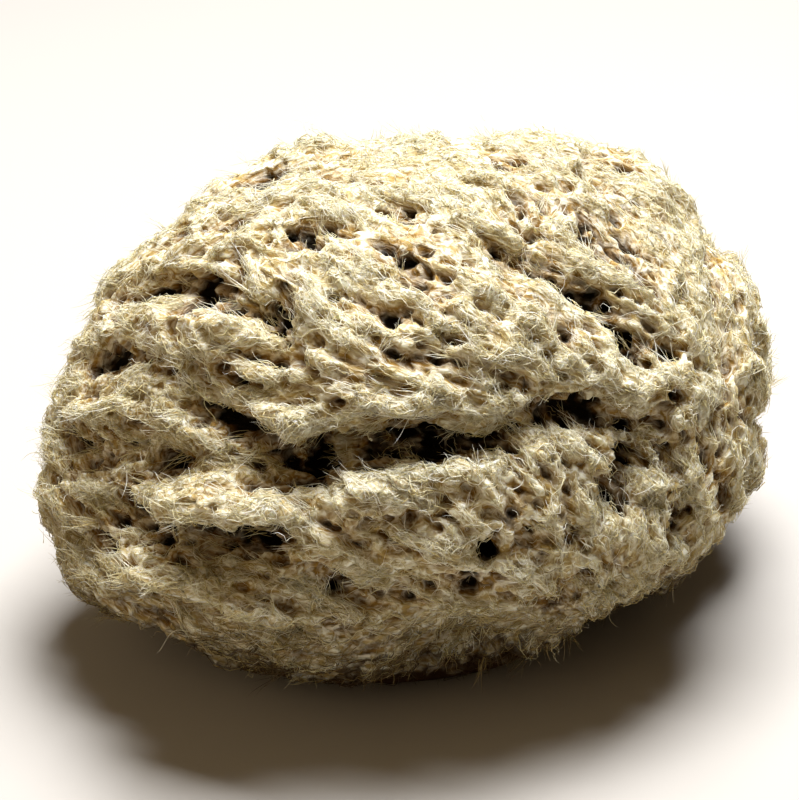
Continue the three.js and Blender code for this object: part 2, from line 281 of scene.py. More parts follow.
# %% [markdown]
# ## The lie of the fibres
# A sponge's fibres grow in bundles that lean the same way over a few millimetres, like a nap.
# The lean is read off the picture at named places as an angle, carried onto the body, and blended between
# them. Sides that the picture doesn't show get a slow random lean.

# %% Where the fibres lean
# Place in the picture and the way the fibre tips point: 0 is right, 90 is up, 180 is left
LEANS = [
    (330, 160, 160), (480, 150, 170), (600, 165, 150), (690, 260, 120), (745, 330, 100), (762, 420, 95),
    (380, 240, 145), (440, 300, 145), (520, 330, 150), (600, 370, 155), (360, 330, 140), (300, 280, 130),
    (400, 380, 165), (330, 430, 205), (450, 430, 190), (540, 425, 200), (620, 430, 175),
    (150, 250, 190), (230, 210, 175), (110, 300, 180), (200, 330, 170), (100, 370, 178), (120, 430, 178),
    (230, 420, 168), (60, 490, 150), (210, 500, 176), (300, 500, 165), (150, 570, 160), (250, 600, 160),
    (340, 620, 155), (90, 560, 140), (180, 630, 150), (300, 650, 200), (400, 640, 240), (476, 650, 268),
    (545, 640, 275), (560, 520, 125), (640, 520, 118), (700, 480, 105), (610, 590, 120), (400, 520, 150),
    (480, 560, 140), (350, 560, 155), (680, 560, 120), (430, 468, 138), (520, 452, 118), (360, 478, 150),
    (580, 440, 110),
]
LEAN_REACH = 9 * MM
FAR_LEAN_SPACING = 34 * MM
FAR_LEAN_SHARE = 0.02
LEAN_SEED = 60
# Shares of the camera's distance at which a line that misses the body looks for its rim
RIM_SEARCH = np.linspace(0.85, 1.15, 61)


def seen_at(x, y):
    """Where the rounded body shows at this place in the picture, or its rim just beside it."""
    pixel = ACROSS_AT_AIM / PICTURE_WIDTH
    right, up = (x - PICTURE_WIDTH / 2) * pixel, (PICTURE_HEIGHT / 2 - y) * pixel
    target = AIM + right * picture_right + up * picture_up
    along = (target - eye).normalized()
    spot = rounded.ray_cast(eye, along)[0]
    if spot is None:
        nearest = [rounded.find_nearest(eye + along * VIEW_DISTANCE * share) for share in RIM_SEARCH]
        spot = min(nearest, key=lambda hit: hit[3])[0]
    return np.array(spot)


lean_spots = [seen_at(x, y) for x, y, _ in LEANS]
lean_ways = [
    np.array(picture_right * math.cos(math.radians(angle)) + picture_up * math.sin(math.radians(angle)))
    for _, _, angle in LEANS
]


def grain_at(places, outward):
    """The way the fibre tips lean at each place, in the surface and at length 1."""
    lean = FAR_LEAN_SHARE * soft_vectors(places, FAR_LEAN_SPACING, LEAN_SEED)
    for spot, way in zip(lean_spots, lean_ways):
        near = np.exp(-((places - spot) ** 2).sum(1) / LEAN_REACH**2)
        lean += near[:, None] * way
    return in_surface(lean, outward)


grain = grain_at(points, outward)
print("leans placed:", len(lean_spots))

# %% [markdown]
# ## Pores
# Water once ran through the sponge by pores of 2 to 5 mm, which are drawn out along the fibres and dig in
# under the fibre bundles. They are spread like thrown darts that may not land too near each other.
# Each moves the body's points inwards and back against the lean, which leaves an overhanging lip.
# A Boolean cut would leave clean edges that a felt hasn't, so the points are moved instead.

# %% Measures and places of the pores
PORE_SEED = 11
PORE_SPACING = (2.4 * MM, 4.2 * MM)
PORE_THROWS = 26000
PORE_HALF_LENGTH = (0.9 * MM, 2.4 * MM)
PORE_SLIMNESS = (0.55, 0.9)
PORE_DEPTH = (0.7 * MM, 2.0 * MM)
PORE_TILT = math.radians(22)
# Most pores are small, and a pore's depth goes by its size more than by chance
SMALL_PORES = 1.5
DEPTH_BY_CHANCE = 0.3
DARK_HOLE_SIZE = 0.55
DARK_HOLE_SLIMNESS = 0.75
# The darkest holes: place in the picture, half length and depth
DARK_HOLES = [
    (441, 347, 1.1, 3.2), (506, 387, 1.9, 3.4), (624, 338, 2.4, 4.2), (646, 362, 2.0, 3.6),
    (553, 282, 1.6, 3.0), (270, 322, 2.4, 4.0), (287, 350, 2.0, 3.4), (642, 464, 2.6, 4.5),
    (681, 460, 2.0, 3.6), (624, 499, 2.4, 3.2), (687, 507, 2.2, 3.2), (660, 506, 1.6, 2.8),
    (532, 530, 1.6, 2.6), (488, 542, 1.8, 2.8), (677, 540, 1.6, 2.6), (609, 596, 1.7, 2.8),
    (576, 596, 1.7, 2.8), (540, 614, 1.7, 2.8), (214, 347, 1.8, 3.0), (470, 244, 2.0, 2.8),
    (605, 305, 2.0, 3.0), (608, 396, 1.6, 2.8), (394, 255, 1.7, 2.4), (392, 320, 1.5, 2.4),
    (372, 335, 1.6, 2.4), (423, 322, 1.9, 2.2), (270, 540, 3.0, 3.6), (230, 548, 2.6, 3.4),
]
# Gaps between locks: place in the picture, half length, half width and depth
CREASES = [
    (352, 500, 4.5, 0.8, 2.0), (405, 492, 5.0, 0.8, 1.8), (440, 512, 4.5, 0.8, 2.0),
    (478, 462, 4.0, 0.7, 1.6), (520, 478, 4.5, 0.8, 1.8), (560, 452, 4.0, 0.7, 1.6),
    (505, 520, 4.0, 0.8, 1.8), (585, 500, 4.0, 0.8, 1.8), (330, 530, 4.0, 0.8, 1.6),
    (395, 545, 4.5, 0.8, 1.8), (455, 556, 4.0, 0.8, 1.6), (140, 505, 3.5, 0.8, 2.0),
    (120, 330, 4.0, 0.7, 1.6), (175, 315, 4.0, 0.7, 1.4), (420, 290, 5.0, 0.7, 1.2),
    (350, 300, 5.0, 0.7, 1.2), (470, 385, 5.0, 0.7, 1.2), (400, 365, 4.5, 0.7, 1.2),
    (560, 340, 5.0, 0.7, 1.4), (340, 225, 4.5, 0.7, 1.2), (100, 430, 4.0, 0.7, 1.4),
    (200, 440, 4.0, 0.7, 1.4), (180, 600, 5.0, 0.7, 1.4), (250, 625, 5.0, 0.7, 1.4),
    (372, 468, 3.6, 1.0, 2.2), (412, 462, 3.6, 1.0, 2.4), (450, 460, 3.6, 1.0, 2.4),
    (505, 450, 3.6, 1.0, 2.2), (545, 470, 3.6, 0.9, 2.0), (600, 450, 3.6, 0.9, 2.0),
    (250, 486, 3.6, 0.8, 1.6), (190, 492, 3.6, 0.8, 1.6),
]
print("placed by the picture:", len(DARK_HOLES), "dark holes and", len(CREASES), "gaps")

# %% [markdown]
# Small pores are spread by chance over every side. The darkest holes and the gaps between locks follow the
# picture: each is put at the body's point that lies nearest to the spot that shows at its place.


# %% Spread the pores
def throw_darts(places, spacing, throws, dice):
    """Picks places at random, none nearer to another than its own spacing."""
    kept = np.empty((throws, 3))
    chosen = []
    for index in dice.choice(len(places), throws, replace=False):
        gap = dice.uniform(*spacing)
        here = places[index]
        if not chosen or ((kept[: len(chosen)] - here) ** 2).sum(1).min() > gap**2:
            kept[len(chosen)] = here
            chosen.append(index)
    return np.array(chosen)


def lookup(places):
    """A tree that finds the nearest of these places quickly."""
    tree = KDTree(len(places))
    for index, spot in enumerate(places.tolist()):
        tree.insert(spot, index)
    tree.balance()
    return tree


dice = np.random.default_rng(PORE_SEED)
tree = lookup(points)
at_pore = throw_darts(points, PORE_SPACING, PORE_THROWS, dice)
size = dice.random(len(at_pore)) ** SMALL_PORES
half_length = PORE_HALF_LENGTH[0] + size * (PORE_HALF_LENGTH[1] - PORE_HALF_LENGTH[0])
half_width = half_length * dice.uniform(*PORE_SLIMNESS, len(at_pore))
deepness = DEPTH_BY_CHANCE * dice.random(len(at_pore)) + (1 - DEPTH_BY_CHANCE) * size
depth = PORE_DEPTH[0] + deepness * (PORE_DEPTH[1] - PORE_DEPTH[0])
for x, y, half, deep in DARK_HOLES:
    at_pore = np.append(at_pore, tree.find(seen_at(x, y))[1])
    half_length = np.append(half_length, DARK_HOLE_SIZE * half * MM)
    half_width = np.append(half_width, DARK_HOLE_SLIMNESS * DARK_HOLE_SIZE * half * MM)
    depth = np.append(depth, DARK_HOLE_SIZE * deep * MM)
for x, y, half, wide, deep in CREASES:
    at_pore = np.append(at_pore, tree.find(seen_at(x, y))[1])
    half_length = np.append(half_length, half * MM)
    half_width = np.append(half_width, wide * MM)
    depth = np.append(depth, deep * MM)
print("pores:", len(at_pore))

# %% [markdown]
# Each pore is an oval in the surface. Its outline is shaken by a fine noise, its floor is rounded,
# and its rim stands up a little, as felt does around a hole.

# %% Dig the pores
RAGGED = 0.45 * MM
RAGGED_SPACING = 1.7 * MM
RAGGED_SEED = 70
PORE_FLOOR = 0.25
PORE_EDGE = 1.15
RIM_AT = 1.4
RIM_WIDTH = 0.35
RIM_SHARE = 0.16
# How far round its middle a pore reaches, in its half lengths, and how much a point's height over it counts
PORE_REACH = 1.9
HEIGHT_SHARE = 0.3
DUG_FROM = 0.3 * MM

shaken = points + RAGGED * soft_vectors(points, RAGGED_SPACING, RAGGED_SEED)
dug = np.zeros(len(points))
dug_way = -outward.copy()
rim = np.zeros(len(points))
for index, length, width, deep in zip(at_pore, half_length, half_width, depth):
    near = np.array([hit[1] for hit in tree.find_range(points[index], PORE_REACH * length)])
    away = shaken[near] - points[index]
    along, up = grain[index], outward[index]
    across = np.cross(up, along)
    flat = (away @ along / length) ** 2 + (away @ across / width) ** 2
    oval = np.sqrt(flat + HEIGHT_SHARE * (away @ up / length) ** 2)
    down = deep * (1 - smoothstep(oval, PORE_FLOOR, PORE_EDGE))
    deeper = down > dug[near]
    dug[near[deeper]] = down[deeper]
    dug_way[near[deeper]] = -(math.cos(PORE_TILT) * up + math.sin(PORE_TILT) * along)
    rim[near] = np.maximum(rim[near], RIM_SHARE * deep * np.exp(-(((oval - RIM_AT) / RIM_WIDTH) ** 2)))
print("deepest pore:", round(dug.max() / MM, 2), "mm; dug share:", round((dug > DUG_FROM).mean(), 2))

# %% [markdown]
# ## Bundles and felt
# Between the pores the surface is drawn into bundles that run with the lean: broad ones about 4 mm apart,
# narrower ones at 2.4 and 1.4 mm and single cords at 0.8 mm. A last fine noise stands for the felt itself.
# Deep in a fold the bundles fade out and its walls are moved apart a little, so that the fold stays open.

# %% Streaky relief of the bundles
# Spacing, half length of a streak and height of each size of bundle
BUNDLES = [
    (4.4 * MM, 4.2 * MM, 0.50 * MM),
    (2.4 * MM, 2.4 * MM, 0.26 * MM),
    (1.4 * MM, 2.8 * MM, 0.24 * MM),
    (0.8 * MM, 2.0 * MM, 0.13 * MM),
]
FELT_SPACING = 1.0 * MM
FELT_HEIGHT = 0.16 * MM
BUNDLE_SEED = 80
FELT_SEED = 90
FOLD_FROM = 5.0 * MM
FOLD_TO = 9.0 * MM
FOLD_OPENING = 1.6 * MM

raised = rim + FELT_HEIGHT * soft_noise(points, FELT_SPACING, FELT_SEED)
for number, (spacing, reach, height) in enumerate(BUNDLES):
    raised += height * streaks(points, grain, spacing, reach, BUNDLE_SEED + number)
in_fold = smoothstep(depth_under(lump_tree, points), FOLD_FROM, FOLD_TO)
raised = raised * (1 - in_fold) - FOLD_OPENING * in_fold
free = smoothstep(points[:, 2], REST_HEIGHT, FREE_HEIGHT)
moved = points + (free * raised)[:, None] * outward + (free * dug)[:, None] * dug_way
moved[:, 2] = np.maximum(moved[:, 2], 0)
place(body.data, moved)
print("relief stands up by", round(raised.max() / MM, 2), "mm at most")

# %% [markdown]
# ## Fewer triangles
# The even mesh is thinned to what the part may have. Decimate by collapse keeps triangles at rims and cords
# and takes them from flat felt.

# %% Thin the mesh
BODY_TRIANGLES = 190000
triangles = sum(len(face.vertices) - 2 for face in body.data.polygons)
finish_with(body, "DECIMATE", ratio=BODY_TRIANGLES / triangles)
pick(body)
bpy.ops.object.shade_smooth()
bpy.ops.object.mode_set(mode="EDIT")
bpy.ops.mesh.select_all(action="DESELECT")
bpy.ops.mesh.select_non_manifold()
bpy.ops.object.mode_set(mode="OBJECT")
loose = sum(vertex.select for vertex in body.data.vertices)
kept = sum(len(face.vertices) - 2 for face in body.data.polygons)
print("body:", kept, "triangles from", triangles, "with", loose, "points on open or doubled edges")

# %% [markdown]
# ## How deep each point lies
# The felt in a hollow is painted darker and browner: partly a browner tone of the felt, partly painted shade
# for the little light that reaches in. Two depths are measured for each point: how far it lies under the
# rounded body, as in a pore, and how far under a much smoother lump, as in a fold. Low parts that face down
# and the base are painted dark brown as painted shade too, and the ends are more golden.
# Low parts that face down are browner too, from the silt that settles in them, and the ends are more golden.
# All four are kept as attributes on the mesh, which the material reads.

# %% Depth of pores and folds, undersides and ends
# Depths at which the painted shade of pores and folds starts and is full
PORE_PALE = -0.5 * MM
PORE_DARK = 2.4 * MM
FOLD_DARK = 5.0 * MM
FOLD_CURVE = 1.5
# Painted shade on parts low down that face down, and on a band at the base
FACING_DOWN = (-0.35, 0.45)
LOW = (4 * MM, 42 * MM)
BASE_SHADE_RANGE = (1 * MM, 13 * MM)
BASE_SHADE = 0.9
ENDS = (22 * MM, 62 * MM)

points, outward = corners(body.data)
# Painted shade: how deep each point lies in a pore or a fold, which darkens its colour
pore_depth = np.clip((depth_under(rounded, points) - PORE_PALE) / (PORE_DARK - PORE_PALE), 0, 1)
fold_depth = np.clip(depth_under(lump_tree, points) / FOLD_DARK, 0, 1) ** FOLD_CURVE
painted_underside_shade = smoothstep(-outward[:, 2], *FACING_DOWN) * (1 - smoothstep(points[:, 2], *LOW))
painted_underside_shade = np.maximum(painted_underside_shade, BASE_SHADE * (1 - smoothstep(points[:, 2], *BASE_SHADE_RANGE)))
ends = smoothstep(np.abs(points[:, 0]), *ENDS)
shades = {"pore_depth": pore_depth, "fold_depth": fold_depth, "painted_underside_shade": painted_underside_shade, "ends": ends}
for name, values in shades.items():
    attribute = body.data.attributes.new(name, "FLOAT", "POINT")
    attribute.data.foreach_set("value", values.astype(np.float32))
print("mean shades:", {name: round(float(values.mean()), 2) for name, values in shades.items()})

# %% [markdown]
# ## Comb the felt straight
# The felt's finest strands, of a third of a millimetre, are left to the material, and they have to follow the
# lie too. So each point gets combed coordinates: how far it lies across the fibres, along them and outwards,
# as if the whole sponge were combed straight. No map does that exactly, so the one that fits best along all
# edges of the mesh is worked out, by the conjugate gradient method. The material reads it as an attribute.

# %% Combed coordinates
COMB_ROUNDS = 260


def settle(first, second, wanted, start, rounds):
    """Values at the points whose differences along the edges come near the wanted ones."""
    def gather(along_edges):
        return np.bincount(second, along_edges, len(start)) - np.bincount(first, along_edges, len(start))

    value = start.copy()
    rest = gather(wanted - (value[second] - value[first]))
    search = rest.copy()
    for _ in range(rounds):
        change = gather(search[second] - search[first])
        size = (rest @ rest) / (search @ change)
        value += size * search
        left = rest - size * change
        search = left + (left @ left) / (rest @ rest) * search
        rest = left
    return value


edges = np.empty(2 * len(body.data.edges), np.int32)
body.data.edges.foreach_get("vertices", edges)
first, second = edges.reshape(-1, 2).T
# The outward directions of an egg shape as large as the body, because pores would tangle the map
middle = (points.max(0) + points.min(0)) / 2
smooth_out = unit((points - middle) / np.ptp(points, axis=0) ** 2)
smooth_grain = grain_at(points, smooth_out)
frames = (np.cross(smooth_out, smooth_grain), smooth_grain, smooth_out)
step = points[second] - points[first]
combed = []
for way, start in zip(frames, (picture_up, -picture_right, towards_eye)):
    wanted = ((way[first] + way[second]) / 2 * step).sum(1)
    combed.append(settle(first, second, wanted, points @ np.array(start), COMB_ROUNDS))
combed = np.stack(combed, 1)
combed_map = body.data.attributes.new("combed", "FLOAT_VECTOR", "POINT")
combed_map.data.foreach_set("vector", combed.astype(np.float32).ravel())
for k, way in enumerate(frames):
    misfit = combed[second, k] - combed[first, k] - (way[first] * step).sum(1)
    print("combed map", "xyz"[k], "misfit per edge:", round(float(misfit.std() / MM), 3), "mm")

# %% [markdown]
# ## Helpers for materials
# Colours are picked as sRGB hex values, as a colour picker gives them, and turned linear for the shader.
# `add` puts one node in a material with its settings and links.

# %% Helpers for materials
def colour(code):
    """An sRGB hex colour as linear red, green, blue and alpha."""
    channels = [int(code[k : k + 2], 16) / 255 for k in (1, 3, 5)]
    return (*[c / 12.92 if c <= 0.04045 else ((c + 0.055) / 1.055) ** 2.4 for c in channels], 1)


def add(material, kind, inputs=(), **settings):
    """Adds a node of this kind. Inputs are values or other nodes' outputs, by name or number."""
    node = material.node_tree.nodes.new(kind)
    for name, value in settings.items():
        setattr(node, name, value)
    for name, value in dict(inputs).items():
        if isinstance(value, bpy.types.NodeSocket):
            material.node_tree.links.new(value, node.inputs[name])
        else:
            node.inputs[name].default_value = value
    return node


def set_ramp(node, stops):
    """Sets a colour ramp's stops: place and hex colour."""
    ramp = node.color_ramp
    while len(ramp.elements) < len(stops):
        ramp.elements.new(0.5)
    for element, (at, code) in zip(ramp.elements, stops):
        element.position = at
        element.color = colour(code)
    return node


def new_material(name):
    """A material with only its main shader and its output. Gives the material and the shader."""
    material = bpy.data.materials.new(name)
    material.use_nodes = True
    material.node_tree.nodes.clear()
    shader = add(material, "ShaderNodeBsdfPrincipled")
    add(material, "ShaderNodeOutputMaterial", {"Surface": shader.outputs[0]})
    return material, shader


# %% [markdown]
# ## Spongin felt
# The body is spongin, a horny protein like that of wool, felted from fibres finer than a hair.
# Dry spongin is cream to golden tan and quite matt. It is cream on the bundles, tan between them and browner
# in the pores, and painted shade darkens the pores and the folds, to nearly black at the bottom of a fold.

# %% Measures and colours of the felt
# From pale to dark: the pale end is the felt's own cream and tan, the dark end is painted shade for pores and
# folds
FELT_COLOURS = [(0.0, "#ECE7CB"), (0.16, "#D8C996"), (0.38, "#B6995C"), (0.64, "#785A2A"), (0.84, "#443114"),
                (1.0, "#171209")]
STRAND_COLOUR = "#F9F6E2"
# The dark brown of the painted shade on parts that face down and at the base
UNDERSIDE_SHADE_COLOUR = "#35200E"
CREAM_TINT = "#FDFBF0"
GOLDEN_TINT = "#E4CE96"
# Darkens the gaps between strands: partly the tan felt under them, partly painted shade
GAP_TAN_AND_SHADE_COLOUR = "#AF965F"
PATCH_SIZE = 14 * MM
FELT_PATTERN = 1.2 * MM
# What each part adds to the shade that the colours above are read by, and what lifts it as a whole;
# folds and pores add painted shade, felting and locks the felt's own uneven tone
FOLD_SHARE = 0.94
PORE_SHARE = 0.55
FELTING_SHARE = 0.4
LOCK_SHARE = -0.16
SHADE_LIFT = 0.08
# Strength of the tint, of the ends' gold, of the pale strands on the ridges and of the gaps between them
TINT_SHARE = 0.7
END_GOLD = 0.5
PALE_ON_TOP = 0.95
GAP_SHARE = 0.5
# Width, length and depth of the strands that the felt is matted from, and of the locks that they form
STRAND = (0.34 * MM, 2.8 * MM, 0.6 * MM)
LOCK = (1.5 * MM, 6.0 * MM, 2.0 * MM)
CURL_SPACING = 2.4 * MM
CURL = 0.7 * MM
# The noise values that are stretched to 0 and 1 for strands and locks
STRAND_TONES = (0.36, 0.66)
LOCK_TONES = (0.34, 0.66)

spongin_felt, felt_shader = new_material("spongin_felt")
where = add(spongin_felt, "ShaderNodeTexCoord").outputs["Object"]
pore = add(spongin_felt, "ShaderNodeAttribute", attribute_name="pore_depth").outputs["Fac"]
fold = add(spongin_felt, "ShaderNodeAttribute", attribute_name="fold_depth").outputs["Fac"]
below = add(spongin_felt, "ShaderNodeAttribute", attribute_name="painted_underside_shade").outputs["Fac"]
end = add(spongin_felt, "ShaderNodeAttribute", attribute_name="ends").outputs["Fac"]
combed_at = add(spongin_felt, "ShaderNodeAttribute", attribute_name="combed").outputs["Vector"]

# %% [markdown]
# The felt's patterns are noises with real spacings. Strands and locks read the combed coordinates, shaken by
# a slow noise so that they curl, and are drawn out along the lie. The felting has no direction.

# %% Patterns of the felt
curls = add(spongin_felt, "ShaderNodeTexNoise",
            {"Vector": where, "Scale": 1 / CURL_SPACING, "Detail": 2}).outputs["Color"]


def strands(size, seed, tones):
    """Noise drawn out along the lie, of this width, length and depth, with these tones brought to 0 and 1."""
    shift = add(spongin_felt, "ShaderNodeVectorMath", {0: curls, 1: (CURL, CURL, CURL), 2: combed_at},
                operation="MULTIPLY_ADD").outputs[0]
    inputs = {"Vector": shift, "Scale": [1 / length for length in size], "Location": (seed, seed, seed)}
    drawn_out = add(spongin_felt, "ShaderNodeMapping", inputs).outputs[0]
    inputs = {"Vector": drawn_out, "Scale": 1, "Detail": 2}
    noise = add(spongin_felt, "ShaderNodeTexNoise", inputs).outputs["Fac"]
    inputs = {"Value": noise, "From Min": tones[0], "From Max": tones[1]}
    return add(spongin_felt, "ShaderNodeMapRange", inputs).outputs["Result"]


strand = strands(STRAND, 3, STRAND_TONES)
lock = strands(LOCK, 7, LOCK_TONES)
felting = add(spongin_felt, "ShaderNodeTexNoise",
              {"Vector": where, "Scale": 1 / FELT_PATTERN, "Detail": 3}).outputs["Fac"]
patches = add(spongin_felt, "ShaderNodeTexNoise",
              {"Vector": where, "Scale": 1 / PATCH_SIZE, "Detail": 2}).outputs["Fac"]
print("patterned felt:", len(spongin_felt.node_tree.nodes), "nodes")

# %% [markdown]
# Painted shade for the depth in pores and folds, felting and locks add up to one shade, by which the felt's
# colour is read from pale to dark. The ends and some patches are then tinted golden, pale strands are laid
# over the ridges but not in the shaded hollows, with darker gaps between them that are partly tan felt and
# partly painted shade, and the parts that face down and the base are painted dark brown last, as painted
# shade.

# %% Colour of the felt
# Painted shade: folds and pores darken the felt by their depth
pore_shade = add(spongin_felt, "ShaderNodeMath", {0: pore, 1: PORE_SHARE}, operation="MULTIPLY").outputs[0]
deep = add(spongin_felt, "ShaderNodeMath", {0: fold, 1: FOLD_SHARE, 2: pore_shade},
           operation="MULTIPLY_ADD").outputs[0]
uneven = add(spongin_felt, "ShaderNodeMath", {0: felting, 1: FELTING_SHARE, 2: deep},
             operation="MULTIPLY_ADD").outputs[0]
sunken = add(spongin_felt, "ShaderNodeMath", {0: lock, 1: LOCK_SHARE, 2: uneven},
             operation="MULTIPLY_ADD").outputs[0]
shade = add(spongin_felt, "ShaderNodeMath", {0: sunken, 1: SHADE_LIFT}, operation="SUBTRACT").outputs[0]
felt_ramp = set_ramp(add(spongin_felt, "ShaderNodeValToRGB", {"Fac": shade}), FELT_COLOURS)
felt_colour = felt_ramp.outputs["Color"]

goldness = add(spongin_felt, "ShaderNodeMath", {0: end, 1: END_GOLD, 2: patches},
               operation="MULTIPLY_ADD", use_clamp=True).outputs[0]
golden = add(spongin_felt, "ShaderNodeMix",
             {"Factor": goldness, "A": colour(CREAM_TINT), "B": colour(GOLDEN_TINT)},
             data_type="RGBA", blend_type="MIX").outputs["Result"]
felt_tint = add(spongin_felt, "ShaderNodeMix", {"Factor": TINT_SHARE, "A": felt_colour, "B": golden},
                data_type="RGBA", blend_type="MULTIPLY").outputs["Result"]

# Pale strands show only where the painted shade of pores and folds is weak
on_top = add(spongin_felt, "ShaderNodeMath", {0: PALE_ON_TOP, 1: deep},
             operation="SUBTRACT", use_clamp=True).outputs[0]
pale = add(spongin_felt, "ShaderNodeMath", {0: strand, 1: on_top}, operation="MULTIPLY").outputs[0]
stranded = add(spongin_felt, "ShaderNodeMix",
               {"Factor": pale, "A": felt_tint, "B": colour(STRAND_COLOUR)},
               data_type="RGBA", blend_type="MIX").outputs["Result"]
# Darker gaps between the strands: partly tan felt, partly painted shade
gap = add(spongin_felt, "ShaderNodeMath", {0: 1, 1: strand}, operation="SUBTRACT").outputs[0]
gap_tan_and_shade = add(spongin_felt, "ShaderNodeMath", {0: gap, 1: GAP_SHARE}, operation="MULTIPLY").outputs[0]
shaded = add(spongin_felt, "ShaderNodeMix",
             {"Factor": gap_tan_and_shade, "A": stranded, "B": colour(GAP_TAN_AND_SHADE_COLOUR)},
             data_type="RGBA", blend_type="MULTIPLY").outputs["Result"]
# Painted shade: parts that face down and the base go dark brown
darkened_below = add(spongin_felt, "ShaderNodeMix",
              {"Factor": below, "A": shaded, "B": colour(UNDERSIDE_SHADE_COLOUR)},
              data_type="RGBA", blend_type="MIX").outputs["Result"]
print("coloured felt:", len(spongin_felt.node_tree.nodes), "nodes")

# %% [markdown]
# The same patterns stand up as low relief. Spongin is dull and lets a little light through, so the felt is
# rough, hardly shiny, and scatters light over about a millimetre.

# %% Relief and finish of the felt
# Height, strength and depth of each size of low relief, one on top of the other
normal = None
for height, strength, distance in ((strand, 0.9, 0.3 * MM), (lock, 0.7, 0.5 * MM), (felting, 0.5, 0.4 * MM)):
    inputs = {"Height": height, "Strength": strength, "Distance": distance}
    if normal is not None:
        inputs["Normal"] = normal
    normal = add(spongin_felt, "ShaderNodeBump", inputs).outputs["Normal"]
for name, value in (("Base Color", darkened_below), ("Normal", normal)):
    spongin_felt.node_tree.links.new(value, felt_shader.inputs[name])
felt_shader.inputs["Roughness"].default_value = 0.95
felt_shader.inputs["Specular IOR Level"].default_value = 0.05
felt_shader.inputs["Subsurface Weight"].default_value = 0.5
felt_shader.inputs["Subsurface Radius"].default_value = (1.0, 0.92, 0.60)
felt_shader.inputs["Subsurface Scale"].default_value = 1.2 * MM
body.data.materials.clear()
body.data.materials.append(spongin_felt)
print("felt:", len(spongin_felt.node_tree.nodes), "nodes")

# %% [markdown]
# ## Spongin fibres
# A single fibre is a clear, slightly shiny cord that looks cream to white where light strikes it.
# Each fibre's map gives its own tone across and its length upwards, so the colour can differ from fibre
# to fibre and pale towards the tip.

# %% Spongin fibre
FIBRE_MAP = "OFBake"
# Tones from dark to pale; the dark end is the painted shade of fibres low down and in hollows
FIBRE_TONES = [(0.0, "#24170A"), (0.22, "#634923"), (0.45, "#B8A165"), (0.66, "#E1D5A6"), (0.85, "#F6F0D2"),
               (1.0, "#FEFCEC")]
ROOT_SHADES = [(0.0, "#DDD2AE"), (0.35, "#F8F4E6"), (1.0, "#FFFFFF")]

spongin_fibre, fibre_shader = new_material("spongin_fibre")
map_at = add(spongin_fibre, "ShaderNodeUVMap", uv_map=FIBRE_MAP)
across_along = add(spongin_fibre, "ShaderNodeSeparateXYZ", {"Vector": map_at.outputs["UV"]})
across_ramp = add(spongin_fibre, "ShaderNodeValToRGB", {"Fac": across_along.outputs["X"]})
fibre_tone = set_ramp(across_ramp, FIBRE_TONES)
along_ramp = add(spongin_fibre, "ShaderNodeValToRGB", {"Fac": across_along.outputs["Y"]})
root_shade = set_ramp(along_ramp, ROOT_SHADES)
fibre_colour = add(spongin_fibre, "ShaderNodeMix",
                   {"Factor": 1.0, "A": fibre_tone.outputs["Color"], "B": root_shade.outputs["Color"]},
                   data_type="RGBA", blend_type="MULTIPLY")
spongin_fibre.node_tree.links.new(fibre_colour.outputs["Result"], fibre_shader.inputs["Base Color"])
fibre_shader.inputs["Roughness"].default_value = 0.5
fibre_shader.inputs["Specular IOR Level"].default_value = 0.4
fibre_shader.inputs["Subsurface Weight"].default_value = 0.4
fibre_shader.inputs["Subsurface Radius"].default_value = (1.0, 0.9, 0.7)
fibre_shader.inputs["Subsurface Scale"].default_value = 0.4 * MM
print("fibre:", len(spongin_fibre.node_tree.nodes), "nodes")

# %% [markdown]
# ## How a fibre is made
# There are tens of thousands of fibres, far too many to model by hand, and hair curves would not be kept
# when the part is saved as meshes. Each fibre is therefore a closed tapering cord with three sides,
# and all fibres of one kind are written into one mesh at once from arrays.

# %% A bundle of cords as one mesh
SIDE_SEED = 5
# How much of the map's width and height the tones and lengths take, and the step between a cord's sides
MAP_WIDTH = 0.98
MAP_HEIGHT = 0.99
MAP_STEP = 0.005


